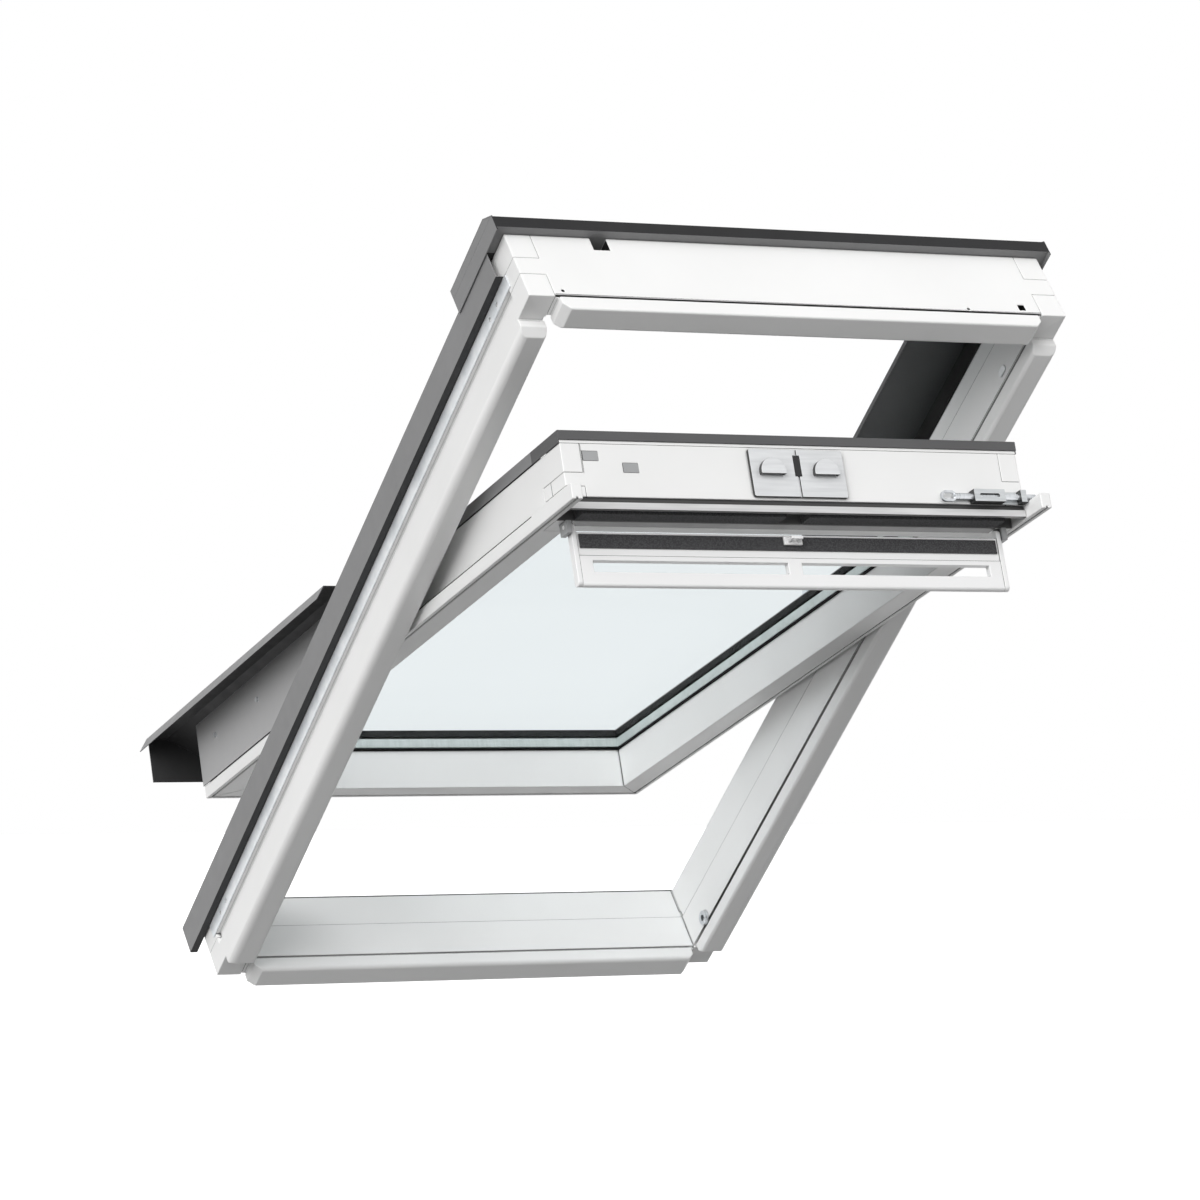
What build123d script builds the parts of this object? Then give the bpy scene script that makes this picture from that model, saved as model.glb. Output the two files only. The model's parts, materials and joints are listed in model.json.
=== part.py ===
from build123d import *
import os
from math import atan2, cos, hypot, radians, sin

os.makedirs("parts", exist_ok=True)

# Angles of the pictured pose: slope of the roof, swing of the sash, swing of the flap
roof_angle = 41
sash_angle = 23.4
flap_angle = 90
cleaning_angle = 160

# Outer frame, moulded members with finger-jointed corners
frame_width = 942
frame_length = 1600
frame_depth = 132
member_width = 44
finger_low = 47
finger_height = 35
lip_thickness = 26
lip_end_setback = 51
lip_bevel = 12
lip_outer_round = 12
lip_inner_round = 6
lip_end_round = 3
lip_groove = 4
lining_groove_low = 35
lining_groove_height = 20
lining_groove_depth = 8
face_step_drop = 62
face_step_depth = 2
oval_cap_length = 22
oval_cap_width = 12
oval_cap_thickness = 2.5
oval_cap_setback = 99
oval_cap_height = 20
cable_slot_x = 312
cable_slot_width = 28
cable_slot_height = 26
cable_slot_depth = 28
square_hole_x = 396
square_hole_n = 16
square_hole = 12
pilot_diameter = 6
pilot_sides = 8
pilot_depth = 5
pilot_far_x = 438
pilot_near_x = 410
pilot_n = 13
dimple_x = 296
dimple_n = 8

# Steel mounting rails on the frame sides
rail_height = 24
rail_thickness = 2
rail_end_setback = 35
rail_hole_diameter = 9
rail_hole_depth = 24
rail_hole_setback = 50
rail_hole_pitch = 32

# Sheet-metal cladding of the frame
sheet = 2
cladding_overhang = 15
cladding_height = 54
cladding_tail = 36
cladding_seat = 40
cover_foot = 2
cover_rise = 34
cover_bevel = 28
cover_reach = 87
cover_lip = 8
cover_start = 80
hood_overhang = 15
hood_lip = 22
hood_bevel = 25
hood_rise = 42
hood_reach = 86
hood_seat = 40
hood_side_gap = 1
hood_leg_length = 177
hood_leg_height = 30
hood_leg_drop = 6
sill_overhang = 20
sill_lip = 32
gutter_height = 31
gutter_thickness = 3

# Friction pivots at half length
pivot_rise = 28
pivot_pin_diameter = 14
pivot_pin_length = 21
bracket_width = 40
bracket_thickness = 5
bracket_drop = 37
shoe_width = 44
shoe_thickness = 12
shoe_low = 100
running_clearance = 0.05

# Sash, heights counted from the pivot axis
sash_side_gap = 8
sash_end_gap = 16
sash_face = 51
sash_inside = 130
flange_thickness = 22
flange_overhang = 18
rebate_depth = 69
rebate_width = 19
web_height = 39
top_setback = 49
top_height = 91
vent_slab = 45
sash_finger_low = 39
sash_finger_height = 22
ear_lap = 3
flange_groove = 3
flange_groove_setback = 7
seal_size = 8
pad_width = 26
pad_height = 15
pad_thickness = 4
pad_inset = 16
pad_pitch = 66
pad_far_drop = 20
pad_near_drop = 38

# Sealed glass unit
pane = 4
cavity = 16
glass_edge_gap = 4
glazing_gasket = 2
gasket_show = 4
outer_seal_width = 8
spacer_width = 13
spacer_setback = 2

# Sheet-metal cladding of the sash
bead_drop = 2
bead_lip = 15
bead_inner = 2
tail_clearance = 1
tail_rise = 12
tail_skirt = 24
tail_bevel = 16
tail_flat = 36
tail_start = 45
tail_overhang = 102
tail_end_height = 80
tail_screw_diameter = 9
tail_screw_sides = 12
tail_screw_height = 3
tail_screw_drop = 40
tail_screw_setback = 80
tail_screw_pitch = 190

# Ventilation flap and control bar
hinge_set_in = 8
hinge_pin_diameter = 8
hinge_pin_length = 9
hinge_ear = 8
hinge_ear_width = 24
hinge_ear_height = 20
hinge_inset = 22
arm_play = 0.6
arm_width = 14
flap_root = 8
flap_thickness = 10
flap_panel_height = 38
flap_seal_thickness = 2
flap_seal_height = 22
flap_seal_inset = 4
bar_height = 49
bar_rim = 8
finger_slot_height = 18
bar_arm = 22
bar_middle = 24
bar_thickness = 12
bar_round = 5
arm_thickness = 8
catch_base_width = 32
catch_base_height = 14
catch_width = 20
catch_height = 20
catch_thickness = 5
catch_slot_width = 10
filter_height = 30
filter_thickness = 21
filter_gap = 40
filter_end_gap = 30
filter_rail_height = 11
filter_rail_thickness = 4
filter_rail_drop = 8

# Lock in the top of the sash and its striker on the frame
lock_width = 164
lock_height = 77
lock_plate = 6
lock_slot_width = 12
lock_slot_height = 34
lock_slot_rise = 12
lock_round = 3
lock_hook_diameter = 44
lock_hook_height = 9
lock_hook_wall = 3
lock_hook_flat = 4
lock_hook_spread = 47
lock_parting = 3
latch_clearance = 0.5
latch_depth = 30
striker_width = 50
striker_height = 48
striker_gap = 11
striker_wall = 3

# Barrel bolt that holds the sash in the cleaning position
bolt_diameter = 10
bolt_stand = 8
bolt_rise = 10
bolt_length = 148
bolt_end_inset = 1
bolt_wall = 3
bolt_case_height = 20
bolt_case_length = 56
bolt_case_setback = 105
bolt_base_thickness = 2
bolt_slot_length = 36
bolt_slot_width = 6
bolt_guide_length = 10
bolt_guide_setback = 3
loop_length = 28
loop_width = 18
loop_wire = 4
bush_clearance = 0.5
bush_wall = 3
bush_flange = 4
bush_flange_sides = 24
bush_flange_thickness = 6
bush_depth = 16

# Derived places on the frame, heights counted from the plane of its inner corners
pivot_height = frame_depth + pivot_rise
gutter_low = frame_depth - gutter_height
bracket_low = frame_depth - bracket_drop
half_width = frame_width / 2
half_length = frame_length / 2
inner_x = half_width - member_width
inner_u = half_length - member_width
step_x = inner_x + face_step_depth
face_step_height = frame_depth - face_step_drop
lip_half_x = half_width - lip_end_setback
lip_half_u = half_length - lip_end_setback
finger_high = finger_low + finger_height
lining_groove_high = lining_groove_low + lining_groove_height
rail_low = lining_groove_high
rail_high = rail_low + rail_height
rail_middle = rail_low + rail_height / 2
rail_half = half_length - rail_end_setback
rail_hole_far = rail_half - rail_hole_setback
rail_hole_near = rail_hole_far - rail_hole_pitch
rail_face = half_width + rail_thickness
cladding_x = half_width + cladding_overhang
cladding_top = frame_depth + sheet
cladding_low = cladding_top - cladding_height
cladding_seat_x = half_width - cladding_seat
cover_top = cladding_top + cover_rise
cover_foot_x = cladding_x - cover_foot
cover_edge_x = cover_foot_x - cover_bevel
cover_inner_x = inner_x - cover_reach
hood_top = frame_depth + hood_rise
hood_seat_u = half_length - hood_seat
hood_lip_u = half_length + hood_overhang
hood_lip_top = frame_depth + hood_lip
hood_x = cladding_x + hood_side_gap + sheet
hood_leg_low = frame_depth - hood_leg_drop

# Derived places on the sash: across, along its length and outward from the pivot axis
sash_x = inner_x - sash_side_gap
sash_v = inner_u - sash_end_gap
face_x = sash_x - sash_face
face_v = sash_v - sash_face
web_x = sash_x - flange_overhang
web_v = sash_v - flange_overhang
flange_top = flange_thickness - sash_inside
rebate_w = rebate_depth - sash_inside
web_top = rebate_w + web_height
finger_w = sash_finger_low - sash_inside
finger_top_w = finger_w + sash_finger_height
pad_far_x = face_x - pad_inset
pad_near_x = pad_far_x - pad_pitch
pad_far_w = web_top - pad_far_drop
pad_near_w = web_top - pad_near_drop
rebate_x = face_x + rebate_width
rebate_v = face_v + rebate_width
top_v = sash_v - top_setback
top_low_v = top_v - top_height
glass_x = rebate_x - glass_edge_gap
glass_low_v = rebate_v - glass_edge_gap
glass_top_v = top_low_v + rebate_width - glass_edge_gap
glass_w = rebate_w + glazing_gasket
cavity_w = glass_w + pane
outer_glass_w = cavity_w + cavity
glass_top_w = outer_glass_w + pane
cladding_seat_w = cladding_top + tail_clearance - pivot_height
outer_seal_height = cladding_seat_w - glass_top_w
bead_top = -bead_drop
bead_x = web_x + sheet
bead_v = top_v + sheet
bead_inner_x = face_x - bead_inner
bead_inner_v = face_v - bead_inner
tail_x = cladding_x + sheet
tail_edge_x = tail_x - tail_bevel
tail_crest_x = tail_edge_x - tail_flat
tail_skirt_low = tail_rise - tail_skirt
tail_v = sash_v + tail_overhang
tail_wall_x = sash_x + sheet
hinge_v = top_low_v + vent_slab - flap_root
hinge_w = -sash_inside - hinge_set_in
hinge_ear_x = web_x - hinge_inset
arm_x = hinge_ear_x - arm_play
panel_x = arm_x - arm_thickness
panel_top = flap_root + flap_panel_height
bar_top = panel_top + bar_height
seal_face = flap_thickness / 2 + flap_seal_thickness
lock_w = (web_top + flange_top) / 2
latch_w = lock_w + lock_slot_rise
latch_face_v = top_v + lock_plate
bolt_v = top_v + bolt_stand
bolt_w = flange_top + bolt_rise
bolt_end_x = sash_x - bolt_end_inset
bolt_start_x = bolt_end_x - bolt_length
bolt_reach = hypot(bolt_v, bolt_w)
bolt_angle = radians(cleaning_angle) + atan2(-bolt_w, bolt_v)
bush_u = bolt_reach * cos(bolt_angle)
bush_n = pivot_height - bolt_reach * sin(bolt_angle)
bush_bore = bolt_diameter / 2 + bush_clearance
bush_radius = bush_bore + bush_wall


def outward(lean):
    return Vector(0, sin(radians(lean)), cos(radians(lean)))


def upward(lean):
    return Vector(0, -cos(radians(lean)), sin(radians(lean)))


# Section plane across the width, local axes (outward, up the slope), facing +X
def across(base, lean, x):
    return Plane(origin=base + Vector(x, 0, 0), x_dir=outward(lean), z_dir=Vector(1, 0, 0))


# Section plane across the length, local axes (X, outward), facing up the slope
def along(base, lean, up):
    return Plane(origin=base + upward(lean) * up, x_dir=Vector(1, 0, 0), z_dir=upward(lean))


# Plan plane, local axes (up the slope, X), facing outward
def plan(base, lean, out):
    return Plane(origin=base + outward(lean) * out, x_dir=upward(lean), z_dir=outward(lean))


def corners(a0, b0, a1, b1):
    return [(a0, b0), (a1, b0), (a1, b1), (a0, b1)]


# The origin is the middle of the frame at the height of the rail holes
roof_base = outward(roof_angle) * -rail_middle
roof = (roof_base, roof_angle)
sash_lean = roof_angle - sash_angle
pivot_point = roof_base + outward(roof_angle) * pivot_height
sash = (pivot_point, sash_lean)
hinge_point = pivot_point + upward(sash_lean) * hinge_v + outward(sash_lean) * hinge_w
flap = (hinge_point, sash_lean - flap_angle)
roof_out = Axis((0, 0, 0), outward(roof_angle))
roof_up = Axis((0, 0, 0), upward(roof_angle))
flap_up = Axis((0, 0, 0), upward(sash_lean - flap_angle))
middle = Plane.YZ

# Frame side members
with BuildPart() as frame_left:
    with BuildSketch(along(*roof, -half_length)):
        Polygon(*corners(-half_width, 0, -inner_x, frame_depth))
    extrude(amount=frame_length)
    with BuildSketch(along(*roof, -lip_half_u)):
        Polygon(*corners(-half_width, -lip_thickness, -inner_x, 0))
    extrude(amount=2 * lip_half_u)
    chamfer(frame_left.edges().filter_by(Axis.X).group_by(roof_out)[0], length=lip_bevel)
    lip_edges = frame_left.edges().filter_by(roof_up).group_by(roof_out)[0].sort_by(Axis.X)
    fillet(lip_edges[0], radius=lip_outer_round)
    fillet(lip_edges[-1], radius=lip_inner_round)
    with BuildSketch(across(*roof, -half_width)):
        Polygon(*corners(finger_low, inner_u, finger_high, half_length))
        Polygon(*corners(finger_low, -half_length, finger_high, -inner_u))
    extrude(amount=member_width, mode=Mode.SUBTRACT)
    with BuildSketch(along(*roof, -inner_u)):
        Polygon(*corners(-step_x, face_step_height, -inner_x, frame_depth))
        Polygon(*corners(-inner_x - lip_groove, 0, -inner_x, lip_groove))
        lining_floor = lining_groove_depth - half_width
        Polygon(*corners(-half_width, lining_groove_low, lining_floor, lining_groove_high))
    extrude(amount=2 * inner_u, mode=Mode.SUBTRACT)
    with BuildSketch(across(*roof, -half_width)):
        with Locations(
            (rail_middle, rail_hole_far),
            (rail_middle, rail_hole_near),
            (rail_middle, -rail_hole_near),
            (rail_middle, -rail_hole_far),
        ):
            Circle(rail_hole_diameter / 2)
    extrude(amount=rail_hole_depth, mode=Mode.SUBTRACT)
frame_left.part.label = "frame_left"
export_step(frame_left.part, "parts/frame_left.step")

with BuildPart() as frame_right:
    mirror(frame_left.part, about=middle)
    with BuildSketch(across(*roof, inner_x)):
        with Locations((bush_n, bush_u)):
            Circle(bush_radius)
    extrude(amount=bush_depth, mode=Mode.SUBTRACT)
frame_right.part.label = "frame_right"
export_step(frame_right.part, "parts/frame_right.step")

# Frame end members; the top one is the bottom one's mirror image with small cut-outs
with BuildPart() as frame_bottom:
    with BuildSketch(across(*roof, -inner_x)):
        Polygon(*corners(0, -half_length, frame_depth, -inner_u))
    extrude(amount=2 * inner_x)
    with BuildSketch(across(*roof, -lip_half_x)):
        Polygon(*corners(-lip_thickness, -half_length, 0, -inner_u))
    extrude(amount=2 * lip_half_x)
    chamfer(frame_bottom.edges().filter_by(roof_up).group_by(roof_out)[0], length=lip_bevel)
    lip_edges = frame_bottom.edges().filter_by(Axis.X).group_by(roof_out)[0].sort_by(roof_up)
    fillet(lip_edges[0], radius=lip_end_round)
    fillet(lip_edges[-1], radius=lip_inner_round)
    with BuildSketch(across(*roof, -half_width)):
        Polygon(*corners(finger_low, -half_length, finger_high, -inner_u))
    extrude(amount=frame_width)
    with BuildSketch(across(*roof, -inner_x)):
        Polygon(*corners(face_step_height, -inner_u - face_step_depth, frame_depth, -inner_u))
        Polygon(*corners(0, -inner_u - lip_groove, lip_groove, -inner_u))
        Polygon(*corners(0, -half_length, lip_groove, lip_groove - half_length))
    extrude(amount=2 * inner_x, mode=Mode.SUBTRACT)
frame_bottom.part.label = "frame_bottom"
export_step(frame_bottom.part, "parts/frame_bottom.step")

with BuildPart() as frame_top:
    mirror(frame_bottom.part, about=along(*roof, 0))
    with BuildSketch(along(*roof, half_length)):
        with Locations((-cable_slot_x, frame_depth - cable_slot_height / 2)):
            Rectangle(cable_slot_width, cable_slot_height)
        with Locations((square_hole_x, square_hole_n)):
            Rectangle(square_hole, square_hole)
    extrude(amount=-cable_slot_depth, mode=Mode.SUBTRACT)
    with BuildSketch(along(*roof, half_length)):
        with Locations((-pilot_far_x, pilot_n), (-pilot_near_x, pilot_n), (dimple_x, dimple_n)):
            RegularPolygon(pilot_diameter / 2, pilot_sides)
    extrude(amount=-pilot_depth, mode=Mode.SUBTRACT)
frame_top.part.label = "frame_top"
export_step(frame_top.part, "parts/frame_top.step")

# Oval caps over the frame screws, on the inner faces of the side members
with BuildPart() as frame_caps:
    with BuildSketch(across(*roof, inner_x)):
        with Locations((oval_cap_height, inner_u - oval_cap_setback)):
            SlotOverall(oval_cap_length, oval_cap_width, rotation=90)
    extrude(amount=-oval_cap_thickness)
    mirror(about=middle)
frame_caps.part.label = "frame_caps"
export_step(frame_caps.part, "parts/frame_caps.step")

# Mounting rails
with BuildPart() as rail_left:
    with BuildSketch(across(*roof, -half_width)):
        Polygon(*corners(rail_low, -rail_half, rail_high, rail_half))
        with Locations(
            (rail_middle, rail_hole_far),
            (rail_middle, rail_hole_near),
            (rail_middle, -rail_hole_near),
            (rail_middle, -rail_hole_far),
        ):
            Circle(rail_hole_diameter / 2, mode=Mode.SUBTRACT)
    extrude(amount=-rail_thickness)
rail_left.part.label = "rail_left"
export_step(rail_left.part, "parts/rail_left.step")

with BuildPart() as rail_right:
    mirror(rail_left.part, about=middle)
rail_right.part.label = "rail_right"
export_step(rail_right.part, "parts/rail_right.step")

# Side cladding, a folded sheet over the outer edge of the frame
with BuildPart() as cladding_left:
    with BuildSketch(along(*roof, -half_length - cladding_tail)):
        Polygon(
            (-cladding_x, cladding_low),
            (-cladding_x, cladding_top),
            (-cladding_seat_x, cladding_top),
            (-cladding_seat_x, frame_depth),
            (sheet - cladding_x, frame_depth),
            (sheet - cladding_x, cladding_low + sheet),
            (-rail_face, cladding_low + sheet),
            (-rail_face, cladding_low),
        )
    extrude(amount=half_length + cladding_tail + hood_seat_u)
cladding_left.part.label = "cladding_left"
export_step(cladding_left.part, "parts/cladding_left.step")

with BuildPart() as cladding_right:
    mirror(cladding_left.part, about=middle)
cladding_right.part.label = "cladding_right"
export_step(cladding_right.part, "parts/cladding_right.step")

# Upper side covers, standing on the side cladding and reaching over the sash
with BuildPart() as cover_left:
    with BuildSketch(along(*roof, cover_start)):
        Polygon(
            (-cover_foot_x, cladding_top),
            (-cover_edge_x, cover_top),
            (-cover_inner_x, cover_top),
            (-cover_inner_x, cover_top - cover_lip),
            (-cover_inner_x - sheet, cover_top - cover_lip),
            (-cover_inner_x - sheet, cover_top - sheet),
            (sheet / 2 - cover_edge_x, cover_top - sheet),
            (sheet - cover_foot_x, cladding_top),
        )
    extrude(amount=hood_seat_u - cover_start)
cover_left.part.label = "cover_left"
export_step(cover_left.part, "parts/cover_left.step")

with BuildPart() as cover_right:
    mirror(cover_left.part, about=middle)
cover_right.part.label = "cover_right"
export_step(cover_right.part, "parts/cover_right.step")

# Hood over the top member, with a leg turned down each side
with BuildPart() as hood:
    with BuildSketch(across(*roof, -hood_x)):
        Polygon(
            (frame_depth, hood_seat_u),
            (frame_depth, hood_lip_u),
            (hood_lip_top, hood_lip_u),
            (hood_top, hood_lip_u - hood_bevel),
            (hood_top, inner_u - hood_reach),
            (hood_top - sheet, inner_u - hood_reach),
            (hood_top - sheet, hood_lip_u - hood_bevel - sheet / 2),
            (hood_lip_top - sheet / 2, hood_lip_u - sheet),
            (frame_depth + sheet, hood_lip_u - sheet),
            (frame_depth + sheet, hood_seat_u),
        )
    extrude(amount=2 * hood_x)
    with BuildSketch(across(*roof, -hood_x)):
        leg_top = hood_leg_low + hood_leg_height
        Polygon(*corners(hood_leg_low, hood_lip_u - hood_leg_length, leg_top, hood_lip_u))
    extrude(amount=sheet)
    with BuildSketch(across(*roof, hood_x - sheet)):
        Polygon(*corners(hood_leg_low, hood_lip_u - hood_leg_length, leg_top, hood_lip_u))
    extrude(amount=sheet)
hood.part.label = "hood"
export_step(hood.part, "parts/hood.step")

# Sill cladding over the bottom member
with BuildPart() as cladding_bottom:
    with BuildSketch(across(*roof, -cladding_seat_x)):
        sill_u = half_length + sill_overhang
        Polygon(
            (frame_depth, -inner_u - face_step_depth),
            (cladding_top, -inner_u - face_step_depth),
            (cladding_top, -sill_u),
            (frame_depth - sill_lip, -sill_u),
            (frame_depth - sill_lip, sheet - sill_u),
            (frame_depth, sheet - sill_u),
        )
    extrude(amount=2 * cladding_seat_x)
cladding_bottom.part.label = "cladding_bottom"
export_step(cladding_bottom.part, "parts/cladding_bottom.step")

# Gutter strips inside the upper half of the side members
with BuildPart() as gutter_left:
    with BuildSketch(along(*roof, cover_start)):
        Polygon(*corners(-step_x, gutter_low, gutter_thickness - step_x, frame_depth))
    extrude(amount=inner_u - cover_start)
gutter_left.part.label = "gutter_left"
export_step(gutter_left.part, "parts/gutter_left.step")

with BuildPart() as gutter_right:
    mirror(gutter_left.part, about=middle)
gutter_right.part.label = "gutter_right"
export_step(gutter_right.part, "parts/gutter_right.step")

# Pivot brackets with their pins, on the inner faces of the side members
with BuildPart() as pivot_bracket_left:
    with BuildSketch(across(*roof, -step_x)):
        Polygon(*corners(bracket_low, -bracket_width / 2, pivot_height, bracket_width / 2))
        with Locations((pivot_height, 0)):
            Circle(bracket_width / 2)
    extrude(amount=bracket_thickness)
    with BuildSketch(across(*roof, bracket_thickness - step_x)):
        with Locations((pivot_height, 0)):
            Circle(pivot_pin_diameter / 2)
    extrude(amount=pivot_pin_length)
pivot_bracket_left.part.label = "pivot_bracket_left"
export_step(pivot_bracket_left.part, "parts/pivot_bracket_left.step")

with BuildPart() as pivot_bracket_right:
    mirror(pivot_bracket_left.part, about=middle)
pivot_bracket_right.part.label = "pivot_bracket_right"
export_step(pivot_bracket_right.part, "parts/pivot_bracket_right.step")

# Bush that takes the barrel bolt in the cleaning position
with BuildPart() as bolt_bush:
    with BuildSketch(across(*roof, inner_x - bush_flange_thickness)):
        with Locations((bush_n, bush_u)):
            RegularPolygon(bush_radius + bush_flange, bush_flange_sides)
    extrude(amount=bush_flange_thickness)
    with BuildSketch(across(*roof, inner_x)):
        with Locations((bush_n, bush_u)):
            Circle(bush_radius)
    extrude(amount=bush_depth)
    with BuildSketch(across(*roof, inner_x - bush_flange_thickness)):
        with Locations((bush_n, bush_u)):
            Circle(bush_bore)
    extrude(amount=bush_depth + bush_flange_thickness, mode=Mode.SUBTRACT)
bolt_bush.part.label = "bolt_bush"
export_step(bolt_bush.part, "parts/bolt_bush.step")

# Striker under the top member, a folded cup that the latch enters
with BuildPart() as striker:
    striker_n = pivot_height + latch_w
    striker_low = striker_n - striker_height / 2
    striker_high = striker_n + striker_height / 2
    striker_u = latch_face_v + striker_gap
    striker_seat = inner_u + face_step_depth
    with BuildSketch(across(*roof, -striker_width / 2)):
        Polygon(*corners(striker_low, striker_u, striker_high, striker_seat))
    extrude(amount=striker_width)
    with BuildSketch(across(*roof, striker_wall - striker_width / 2)):
        cup_low = striker_low + striker_wall
        cup_high = striker_high - striker_wall
        Polygon(*corners(cup_low, striker_u, cup_high, striker_seat - striker_wall))
    extrude(amount=striker_width - 2 * striker_wall, mode=Mode.SUBTRACT)
striker.part.label = "striker"
export_step(striker.part, "parts/striker.step")

# Sash side members, mitred at the bottom, finger-jointed at the top, with an ear beside the top member
with BuildPart() as sash_left:
    with BuildSketch(along(*sash, -sash_v)):
        Polygon(
            (-sash_x, -sash_inside),
            (-face_x, -sash_inside),
            (-face_x, rebate_w),
            (-rebate_x, rebate_w),
            (-rebate_x, web_top),
            (-web_x, web_top),
            (-web_x, flange_top),
            (-sash_x, flange_top),
        )
        groove_x = sash_x - flange_groove_setback
        groove_w = flange_groove - sash_inside
        Polygon(*corners(-groove_x, -sash_inside, flange_groove - groove_x, groove_w), mode=Mode.SUBTRACT)
    extrude(amount=sash_v + top_low_v)
    mitre_point = pivot_point + Vector(-sash_x, 0, 0) + upward(sash_lean) * -sash_v
    mitre_normal = upward(sash_lean) - Vector(1, 0, 0)
    split(bisect_by=Plane(origin=mitre_point, z_dir=mitre_normal), keep=Keep.TOP)
    with BuildSketch(along(*sash, top_low_v)):
        Polygon(*corners(-sash_x, -sash_inside, -web_x, flange_top + ear_lap))
        Polygon(*corners(-groove_x, -sash_inside, flange_groove - groove_x, groove_w), mode=Mode.SUBTRACT)
    extrude(amount=sash_v - top_low_v)
    with BuildSketch(along(*sash, top_low_v)):
        Polygon(*corners(-web_x, flange_top, -face_x, rebate_w))
        Polygon(*corners(-web_x, rebate_w, -rebate_x, web_top))
    extrude(amount=rebate_width)
    with BuildSketch(along(*sash, top_low_v + rebate_width)):
        Polygon(*corners(-web_x, flange_top, -face_x, web_top))
        Polygon(*corners(-web_x, finger_w, -face_x, finger_top_w), mode=Mode.SUBTRACT)
    extrude(amount=top_height - rebate_width)
sash_left.part.label = "sash_left"
export_step(sash_left.part, "parts/sash_left.step")

with BuildPart() as sash_right:
    mirror(sash_left.part, about=middle)
sash_right.part.label = "sash_right"
export_step(sash_right.part, "parts/sash_right.step")

# Sash bottom member, mitred to the sides
with BuildPart() as sash_bottom:
    with BuildSketch(across(*sash, -sash_x)):
        Polygon(
            (-sash_inside, -sash_v),
            (-sash_inside, -face_v),
            (rebate_w, -face_v),
            (rebate_w, -rebate_v),
            (cladding_seat_w, -rebate_v),
            (cladding_seat_w, -web_v),
            (flange_top, -web_v),
            (flange_top, -sash_v),
        )
        groove_v = sash_v - flange_groove_setback
        Polygon(*corners(-sash_inside, -groove_v, groove_w, flange_groove - groove_v), mode=Mode.SUBTRACT)
    extrude(amount=2 * sash_x)
    left_mitre = Plane(origin=mitre_point, z_dir=mitre_normal)
    right_point = mitre_point + Vector(2 * sash_x, 0, 0)
    right_mitre = Plane(origin=right_point, z_dir=upward(sash_lean) + Vector(1, 0, 0))
    split(bisect_by=left_mitre, keep=Keep.BOTTOM)
    split(bisect_by=right_mitre, keep=Keep.BOTTOM)
sash_bottom.part.label = "sash_bottom"
export_step(sash_bottom.part, "parts/sash_bottom.step")

# Sash top member, stepped back for the ventilation recess, with a tongue at each end
with BuildPart() as sash_top:
    with BuildSketch(across(*sash, -face_x)):
        Polygon(
            (flange_top, top_low_v),
            (rebate_w, top_low_v),
            (rebate_w, top_low_v + rebate_width),
            (web_top, top_low_v + rebate_width),
            (web_top, top_v),
            (flange_top, top_v),
        )
    extrude(amount=2 * face_x)
    with BuildSketch(across(*sash, -web_x)):
        Polygon(*corners(-sash_inside, top_low_v, flange_top, top_low_v + vent_slab))
        Polygon(*corners(finger_w, top_low_v + rebate_width, finger_top_w, top_v))
    extrude(amount=2 * web_x)
    with BuildSketch(along(*sash, top_v)):
        with Locations((0, latch_w)):
            Rectangle(lock_slot_width, lock_slot_height)
    extrude(amount=-latch_depth, mode=Mode.SUBTRACT)
    with BuildSketch(along(*sash, top_v)):
        with Locations((-pad_far_x, pad_far_w), (-pad_near_x, pad_near_w)):
            Rectangle(pad_width, pad_height)
    extrude(amount=-pad_thickness, mode=Mode.SUBTRACT)
sash_top.part.label = "sash_top"
export_step(sash_top.part, "parts/sash_top.step")

# Grey buffer pads let into the top face of the sash
with BuildPart() as buffer_pads:
    with BuildSketch(along(*sash, top_v)):
        with Locations((-pad_far_x, pad_far_w), (-pad_near_x, pad_near_w)):
            Rectangle(pad_width, pad_height)
    extrude(amount=-pad_thickness)
buffer_pads.part.label = "buffer_pads"
export_step(buffer_pads.part, "parts/buffer_pads.step")

# Glazing gasket: a moulded ring on the rebate and a taller one under the cladding
with BuildPart() as glazing_ring:
    with BuildSketch(plan(*sash, rebate_w)):
        Polygon(*corners(-rebate_v, -rebate_x, top_low_v + rebate_width, rebate_x))
        show_x = face_x - gasket_show
        show_v = face_v - gasket_show
        Polygon(*corners(-show_v, -show_x, top_low_v - gasket_show, show_x), mode=Mode.SUBTRACT)
    extrude(amount=glazing_gasket)
    with BuildSketch(plan(*sash, glass_top_w)):
        top_bead_v = top_low_v - bead_inner
        seal_x = bead_inner_x + outer_seal_width
        seal_v = bead_inner_v + outer_seal_width
        Polygon(*corners(-seal_v, -seal_x, top_bead_v + outer_seal_width, seal_x))
        Polygon(*corners(-bead_inner_v, -bead_inner_x, top_bead_v, bead_inner_x), mode=Mode.SUBTRACT)
    extrude(amount=outer_seal_height)
glazing_ring.part.label = "glazing_gasket"
export_step(glazing_ring.part, "parts/glazing_gasket.step")

# Sealed unit: two panes on a spacer
with BuildPart() as inner_pane:
    with BuildSketch(plan(*sash, glass_w)):
        Polygon(*corners(-glass_low_v, -glass_x, glass_top_v, glass_x))
    extrude(amount=pane)
inner_pane.part.label = "inner_pane"
export_step(inner_pane.part, "parts/inner_pane.step")

with BuildPart() as spacer:
    with BuildSketch(plan(*sash, cavity_w)):
        spacer_x = glass_x - spacer_setback
        spacer_low_v = glass_low_v - spacer_setback
        spacer_top_v = glass_top_v - spacer_setback
        Polygon(*corners(-spacer_low_v, -spacer_x, spacer_top_v, spacer_x))
        Polygon(
            *corners(
                spacer_width - spacer_low_v,
                spacer_width - spacer_x,
                spacer_top_v - spacer_width,
                spacer_x - spacer_width,
            ),
            mode=Mode.SUBTRACT,
        )
    extrude(amount=cavity)
spacer.part.label = "spacer"
export_step(spacer.part, "parts/spacer.step")

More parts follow.
